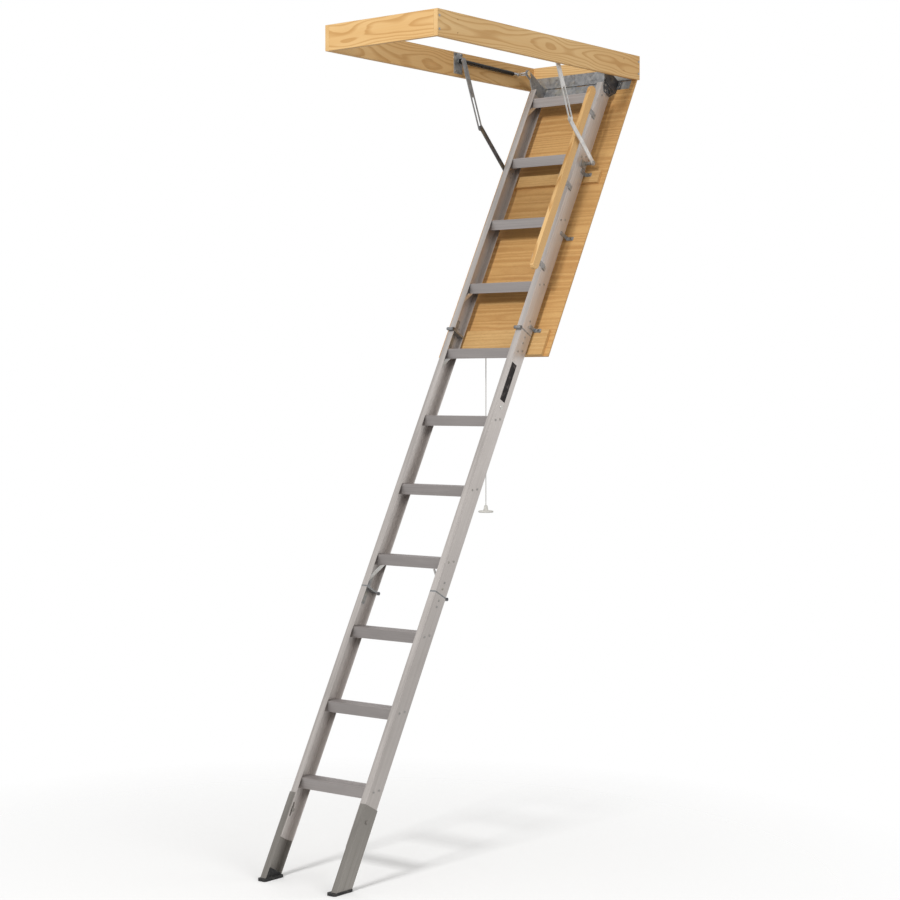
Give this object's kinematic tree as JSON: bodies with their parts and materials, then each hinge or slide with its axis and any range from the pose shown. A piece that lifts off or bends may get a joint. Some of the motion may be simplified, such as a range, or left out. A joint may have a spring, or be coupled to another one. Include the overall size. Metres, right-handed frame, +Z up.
{
  "type": "attic ladder",
  "caption": "Folding attic ladder: timber ceiling frame, hinged plywood door on gas struts and safety arms, sectional aluminium ladder with flat treads, handrail and sliding feet.",
  "frame": {"origin": "centre of the ceiling frame's underside, in the plane of the ceiling", "axes": "+X along the frame towards the door's hinge, +Y across it to the left of a climber, +Z up"},
  "size_m": [1.8393, 0.5622, 3.224],
  "materials": {
    "pine": "sanded, oiled",
    "plywood": "sanded",
    "handrail_wood": "varnished",
    "aluminium": "mill, lightly brushed",
    "tread_aluminium": "ribbed, mill",
    "zinc_steel": "zinc plated",
    "zinc_fasteners": "zinc plated",
    "polished_steel": "polished",
    "black_tube": "gloss black",
    "black_rubber": "matt",
    "dark_film": "printed film, blank",
    "cord": "braided",
    "handle_plastic": "moulded"
  },
  "bodies": {
    "frame": {"frame_side_board_left": "pine", "frame_side_board_right": "pine", "frame_end_board_hinge": "pine", "frame_end_board_free": "pine", "frame_screws": "zinc_fasteners", "frame_hinge_leaf": "zinc_steel", "door_hinge_pin": "polished_steel", "frame_anchor_plates": "zinc_steel"},
    "door": {"door_panel": "plywood", "door_battens": "plywood", "door_hinge_leaf": "zinc_steel", "power_arm_left": "zinc_steel", "power_arm_right": "zinc_steel", "rail_brackets": "zinc_steel", "arm_pivot_plates": "zinc_steel", "cord_screw_eye": "zinc_steel", "upper_rail_left": "aluminium", "upper_rail_right": "aluminium", "tread_01": "tread_aluminium", "tread_02": "tread_aluminium", "tread_03": "tread_aluminium", "tread_04": "tread_aluminium", "upper_knee_braces": "zinc_steel", "upper_fold_hinge_leaves": "zinc_steel", "upper_fold_hinge_pins": "polished_steel", "upper_fasteners": "zinc_fasteners", "handrail": "handrail_wood", "handrail_brackets": "zinc_steel"},
    "middle_section": {"middle_rail_left": "aluminium", "middle_rail_right": "aluminium", "tread_05": "tread_aluminium", "tread_06": "tread_aluminium", "tread_07": "tread_aluminium", "tread_08": "tread_aluminium", "middle_knee_braces": "zinc_steel", "middle_fold_hinge_leaves": "zinc_steel", "lower_fold_hinge_pins": "polished_steel", "middle_rivets": "zinc_fasteners", "blank_label_strip": "dark_film"},
    "lower_section": {"lower_rail_left": "aluminium", "lower_rail_right": "aluminium", "tread_09": "tread_aluminium", "tread_10": "tread_aluminium", "tread_11": "tread_aluminium", "lower_fold_hinge_leaves": "zinc_steel", "lower_rivets": "zinc_fasteners"},
    "foot_left": {"foot_sleeve_left": "aluminium", "foot_shoe_left": "black_rubber"},
    "arm_upper_left": {"safety_arm_upper_left": "zinc_steel"},
    "arm_lower_left": {"safety_arm_lower_left": "zinc_steel"},
    "strut_left": {"strut_cylinder_left": "black_tube"},
    "strut_rod_left": {"strut_rod_left": "polished_steel"},
    "foot_right": {"foot_sleeve_right": "aluminium", "foot_shoe_right": "black_rubber"},
    "arm_upper_right": {"safety_arm_upper_right": "zinc_steel"},
    "arm_lower_right": {"safety_arm_lower_right": "zinc_steel"},
    "strut_right": {"strut_cylinder_right": "black_tube"},
    "strut_rod_right": {"strut_rod_right": "polished_steel"},
    "cord": {"pull_cord": "cord", "pull_handle": "handle_plastic"}
  },
  "joints": [
    {"name": "door_hinge", "type": "hinge", "parent": "frame", "child": "door", "pos_m": [0.6545, 0, 0.003], "axis": [0, 1, 0], "range_deg": [0, 57.2]},
    {"name": "middle_fold", "type": "hinge", "parent": "door", "child": "middle_section", "pos_m": [-0.03599, 0, -1.05811], "axis": [0, 1, 0], "range_deg": [0, 180]},
    {"name": "lower_fold", "type": "hinge", "parent": "middle_section", "child": "lower_section", "pos_m": [-0.50915, 0, -2.10979], "axis": [0, 1, 0], "range_deg": [-180, 0]},
    {"name": "foot_slide_left", "type": "slide", "parent": "lower_section", "child": "foot_left", "axis": [-0.4772, 0, -0.8788], "range_m": [-0.025, 0.022]},
    {"name": "safety_arm_top_left", "type": "hinge", "parent": "frame", "child": "arm_upper_left", "pos_m": [0.128, 0, 0.063], "axis": [0, 1, 0], "range_deg": [0, 95]},
    {"name": "safety_arm_foot_left", "type": "hinge", "parent": "door", "child": "arm_lower_left", "pos_m": [0.40877, 0, -0.36994], "axis": [0, 1, 0], "range_deg": [-102, 0]},
    {"name": "strut_swing_left", "type": "hinge", "parent": "frame", "child": "strut_left", "pos_m": [0.128, 0, 0.063], "axis": [0, 1, 0], "range_deg": [-10.6, 0]},
    {"name": "strut_stroke_left", "type": "slide", "parent": "strut_left", "child": "strut_rod_left", "axis": [0.9997, 0, -0.0228], "range_m": [0, 0.1078]},
    {"name": "foot_slide_right", "type": "slide", "parent": "lower_section", "child": "foot_right", "axis": [-0.4772, 0, -0.8788], "range_m": [-0.025, 0.022]},
    {"name": "safety_arm_top_right", "type": "hinge", "parent": "frame", "child": "arm_upper_right", "pos_m": [0.128, 0, 0.063], "axis": [0, 1, 0], "range_deg": [0, 95]},
    {"name": "safety_arm_foot_right", "type": "hinge", "parent": "door", "child": "arm_lower_right", "pos_m": [0.40877, 0, -0.36994], "axis": [0, 1, 0], "range_deg": [-102, 0]},
    {"name": "strut_swing_right", "type": "hinge", "parent": "frame", "child": "strut_right", "pos_m": [0.128, 0, 0.063], "axis": [0, 1, 0], "range_deg": [-10.6, 0]},
    {"name": "strut_stroke_right", "type": "slide", "parent": "strut_right", "child": "strut_rod_right", "axis": [0.9997, 0, -0.0228], "range_m": [0, 0.1078]},
    {"name": "cord_swing", "type": "hinge", "parent": "door", "child": "cord", "pos_m": [0.05579, 0.06, -1.16257], "axis": [0, 1, 0], "range_deg": [-57.5, 0]}
  ],
  "couplings": [
    {"joint": "lower_fold", "follows": "middle_fold", "ratio": -1},
    {"joint": "safety_arm_top_left", "follows": "door_hinge", "ratio": 1.654},
    {"joint": "safety_arm_foot_left", "follows": "door_hinge", "ratio": -1.775},
    {"joint": "strut_swing_left", "follows": "door_hinge", "ratio": -0.182},
    {"joint": "strut_stroke_left", "follows": "door_hinge", "m_per_rad": 0.10741},
    {"joint": "safety_arm_top_right", "follows": "door_hinge", "ratio": 1.654},
    {"joint": "safety_arm_foot_right", "follows": "door_hinge", "ratio": -1.775},
    {"joint": "strut_swing_right", "follows": "door_hinge", "ratio": -0.182},
    {"joint": "strut_stroke_right", "follows": "door_hinge", "m_per_rad": 0.10741},
    {"joint": "cord_swing", "follows": "door_hinge", "ratio": -1}
  ]
}
